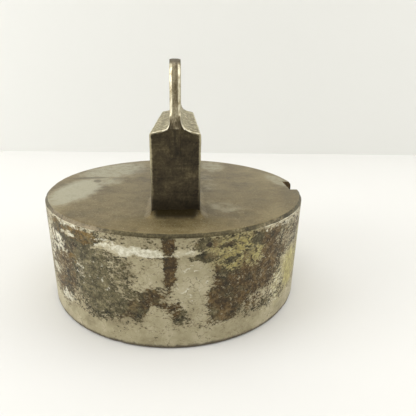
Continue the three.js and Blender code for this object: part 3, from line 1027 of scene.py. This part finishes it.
def plate_outline():
    """The plate's side view as (y, z, inward y, inward z), bottom square, top corners round."""
    end = BAR_END
    middle = end - PLATE_CORNER
    level = PLATE_TOP - PLATE_CORNER
    heights = list(np.arange(PLATE_BOTTOM + 1, level - 0.2, 0.6))
    outline = [(-end, PLATE_BOTTOM, 1, 1), (end, PLATE_BOTTOM, -1, 1)]
    outline += [(end, z, -1, 0) for z in heights]
    outline += arc(middle, level, PLATE_CORNER, np.linspace(0, 90, 13), -1)
    outline += [(y, PLATE_TOP, 0, -1) for y in np.arange(middle - 1, -middle, -1)]
    outline += arc(-middle, level, PLATE_CORNER, np.linspace(90, 180, 13), -1)
    outline += [(-end, z, 1, 0) for z in reversed(heights)]
    return outline


def arc(y, z, radius, angles, way):
    """Points of an arc as (y, z, way y, way z), the way being 1 outwards or -1 inwards."""
    turns = [(math.cos(a), math.sin(a)) for a in np.radians(angles)]
    return [(y + radius * c, z + radius * s, way * c, way * s) for c, s in turns]


def bevel_size(y, z):
    """How large the hand-ground bevel is here: none where the plate is let into the bar."""
    fade = min(max((z - BEVEL_START) / 2.2, 0), 1)
    fade = fade * fade * (3 - 2 * fade)
    fade *= 1 - 0.72 * min(max((z - PLATE_TOP + 1.6) / 1.2, 0), 1)
    unevenness = 1 + 0.3 * noise.fractal(Vector((y / 5, z / 5, 2.0)), 0.8, 2.0, 4)
    return fade * min(max(unevenness, 0.6), 1.15)


def make_plate(dark):
    """The upright plate with its eye; uneven bevels run round the plate and the hole."""
    soft = 0.14
    across = rounded_path([
        (1.4, PLATE_HALF, 0), (PLATE_BEVEL, PLATE_HALF, soft), (0, PLATE_HALF - PLATE_BEVEL, soft),
        (0, 0, 0),
    ])
    across += [(inset, -x) for inset, x in reversed(across[:-1])]
    hole = arc(0, EYE_HEIGHT, EYE_RADIUS, np.arange(0, 360, 5), 1)
    vertices = []
    faces = []
    loops = []
    for outline in (plate_outline(), hole):
        rows = []
        for k, (inset, x) in enumerate(across):
            rows.append(list(range(len(vertices), len(vertices) + len(outline))))
            flat_ring = k in (0, len(across) - 1)
            for y, z, in_y, in_z in outline:
                size = bevel_size(y, z)
                depth = inset * size if not flat_ring else PLATE_BEVEL * size + 0.6
                vertices.append((x, y + in_y * depth, z + in_z * depth))
        loops.append(rows)
        for row, following in zip(rows, rows[1:]):
            for i in range(len(row)):
                j = (i + 1) % len(row)
                faces.append((row[i], row[j], following[j], following[i]))
    for end in (0, -1):
        order = [i for rows in loops for i in rows[end]]
        flat = [[Vector((vertices[i][1], vertices[i][2], 0)) for i in rows[end]] for rows in loops]
        faces += [tuple(order[i] for i in triangle) for triangle in tessellate_polygon(flat)]
    plate = new_object("eye_plate_worn", vertices, faces, 30.0)
    give_plate_zones(plate)
    settle(plate, "eye_plate", "worn_plate_steel", plate_side(), bright_bevel(), plate_edge(), dark)


def give_plate_zones(plate):
    """Sides, bevels, narrow edges and the tang's dark ends, by which way each face looks."""
    side, bevel, edge, tang = range(4)
    for face in plate.data.polygons:
        sideways = abs(face.normal.x)
        if sideways > 0.96:
            face.material_index = side
        elif sideways > 0.3:
            face.material_index = bevel
        else:
            face.material_index = edge if face.center.z / MM > BAR_CROWN + 0.5 else tang


def make_plate_welds(dressed, dark):
    """The dressed weld in each corner between plate and bar. The two differ a little."""
    near_end = [BAR_END - depth for depth in (0.25, 0.08, 0)]
    stations = [-y for y in reversed(near_end)]
    stations += list(np.linspace(-BAR_END + 0.5, BAR_END - 0.5, 145)) + near_end
    for side, (sign, reach, rise, seed) in PLATE_WELDS.items():
        rings = []
        for y in stations:
            drop = end_drop(y)
            out = reach * (1 + 0.16 * noise.fractal(Vector((seed, y / 7, 0)), 0.8, 2.0, 4))
            up = rise * (1 + 0.14 * noise.fractal(Vector((seed, 7, y / 6)), 0.8, 2.0, 4)) - 0.5 * drop
            root = BAR_CROWN - 0.2 - drop
            ring = [(sign * (PLATE_HALF - 0.02), y, root)]
            ring.append((sign * (PLATE_HALF + out), y, root - crown_fall(PLATE_HALF + out)))
            for px, pz in hollow_fillet(out, up, 0.12, 10):
                fall = (crown_fall(PLATE_HALF + px) + drop) * (1 - pz / up)
                ring.append((sign * (PLATE_HALF + px), y, BAR_CROWN - fall + pz - 0.02))
            rings.append(ring)
        weld = lofted(f"plate_weld_{side}_ground", rings, 40.0)
        from_end = BAR_END - np.abs(vertex_array(weld)[:, 1])
        set_field(weld, "rub", 1 - np.clip((from_end - 0.3) / 0.8, 0, 1))
        for face in weld.data.polygons:
            face.material_index = int(abs(face.normal.y) > 0.95)
        settle(weld, f"plate_weld_{side}", "weld_metal", dressed, dark)


def end_drop(y):
    """How far the bar's rounded end has fallen below its flat length here."""
    inward = max(0, BAR_ROUNDING - (BAR_END - abs(y)))
    return BAR_ROUNDING - math.sqrt(BAR_ROUNDING**2 - inward**2)


def crown_fall(x):
    """How far the bar's top lies below its crown this far from the middle."""
    return CROWN_RISE * np.clip(np.abs(x) / BAR_SIDE * 2 - 1, 0, 1)


def make_base_welds(top):
    """Four runs of dressed fillet weld round the bar's foot, mitred where they meet."""
    half_x = BAR_SIDE - 0.05
    half_y = BAR_END - 0.05
    signs = ((-1, -1), (1, -1), (1, 1), (-1, 1))
    corners = [Vector((x * half_x, y * half_y)) for x, y in signs]
    for side, start, end in zip(("front", "right", "back", "left"), corners, corners[1:] + corners[:1]):
        along = (end - start).normalized()
        outward = Vector((along.y, -along.x))
        length = (end - start).length
        rings = []
        count = round(length / 0.4)
        for k in range(count + 1):
            share = k / count
            inner = start + along * length * share
            near_end = 1 - min(share, 1 - share) * length / BASE_WELD_LEG
            size = BASE_WELD_LEG * (1 + 0.14 * noise.fractal(Vector((*inner, 3.0)) / 5, 0.8, 2.0, 4))
            size *= 1 - 0.2 * max(near_end, 0) ** 2
            ring = [weld_point(inner, along, outward, share, -0.3, -0.1)]
            for out, up in hollow_fillet(size, size, 0.16, 8):
                ring.append(weld_point(inner, along, outward, share, out, up))
            rings.append(ring)
        weld = lofted(f"base_weld_{side}_ground", rings, 50.0)
        points = vertex_array(weld)
        climb = (points[:, 2] - BODY_TOP) / BASE_WELD_LEG
        # Painted shade, held in the stain field: the welds darken as they climb towards the bar.
        set_field(weld, "stain", np.clip(climb * 2.5, 0, 1) * 0.5)
        # Painted shade on the front run only: near-black towards the bar, fading out towards the corners.
        inside = np.clip((BAR_SIDE + 0.6 - np.abs(points[:, 0])) / 3.0, 0, 1)
        foot_shade_amount = 1.2 if side == "front" else 0.0
        set_field(weld, "soot", np.clip(climb * 2.0 + 0.3, 0, 1) * inside * foot_shade_amount)
        settle(weld, f"base_weld_{side}", "weld_metal", top)


def weld_point(inner, along, outward, share, out, up):
    """A point of a run's section, spread along the run so that the ends are mitred."""
    foot = inner + along * (share * 2 - 1) * out + outward * out
    return (foot.x, foot.y, BODY_TOP - 0.03 + up)


def make_pole():
    """The inner pole with its countersunk hole, ground flush with the rim."""
    mouth = SCREW_HEAD_RADIUS + 0.3
    pole = turned("pole_disc", rounded_path([
        (POLE_RADIUS, POLE_TOP / 2, 0), (POLE_RADIUS, POLE_TOP, 0.4), (SHANK_HOLE, POLE_TOP, 0.2),
        (SHANK_HOLE, SCREW_SEAT, 0.2), (mouth, SCREW_RECESS, 0.1), (mouth, 0, 0.12),
        (POLE_RADIUS, 0, 0.3), (POLE_RADIUS, POLE_TOP / 2, 0),
    ])[:-1], 192, closed=True)
    steel = ground_face("ground_pole", (146, 140, 128), (196, 190, 178), "x", 0.28)
    settle(pole, "pole_plate", "ground_pole_steel", steel)


def make_face_ring(brass):
    """The ring that closes the gap between pole and rim."""
    low, high = box_mm("face_ring")
    inner = POLE_RADIUS + 0.3
    middle = (low.z + high.z) / 2
    ring = turned("brass_face_ring", rounded_path([
        (high.x, middle, 0), (high.x, high.z, 0.2), (inner, high.z, 0.2), (inner, low.z, 0.25),
        (high.x, low.z, 0.25), (high.x, middle, 0),
    ])[:-1], 192, closed=True)
    settle(ring, "face_ring", "ring_brass", brass)


def make_screw():
    """The countersunk screw with its hexagon socket."""
    screw = turned("countersunk_screw", rounded_path([
        (0, SCREW_RECESS, 0), (SCREW_HEAD_RADIUS, SCREW_RECESS, 0.3),
        (SHANK_RADIUS, SCREW_SEAT, 0.3), (SHANK_RADIUS, SCREW_TOP - 1, 0.2),
        (SHANK_RADIUS - 1, SCREW_TOP, 0.1), (0, SCREW_TOP, 0),
    ]), 96)
    below = SCREW_RECESS - 1
    floor = SCREW_RECESS + SOCKET_DEPTH
    socket = [(0, below), (SOCKET_RADIUS, below), (SOCKET_RADIUS, floor), (0, floor)]
    cut_with(screw, turned("socket_tool", socket, 6))
    close_up(screw, 30.0)
    steel = ground_face("screw_steel", (104, 98, 88), (150, 144, 132), "y", 0.34)
    settle(screw, "pole_screw", "screw_steel", steel)


def repaint(node, material):
    """Gives a CAD node that stays as it is a better material."""
    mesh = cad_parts[node].data
    mesh.materials.clear()
    mesh.materials.append(material)


def make_magnet_pack():
    """Everything inside the cup; what can't be seen keeps its CAD shape."""
    brass = tarnished_brass()
    ferrite = sintered_ferrite()
    make_pole()
    make_face_ring(brass)
    make_screw()
    repaint("centring_bush", brass)
    repaint("ring_magnet_lower", ferrite)
    repaint("ring_magnet_upper", ferrite)
    repaint("potting_ring", cast_resin())


make_camera()
bpy.context.scene.view_settings.view_transform = "Standard"
make_lights()
make_world()
make_stage()
patinated = worn_top()
dark_scale = dark_bar()
dressed_metal = dressed_weld()
make_shell(patinated)
make_block(dark_scale, dressed_metal)
make_plate(dark_scale)
make_plate_welds(dressed_metal, dark_scale)
make_base_welds(patinated)
make_magnet_pack()
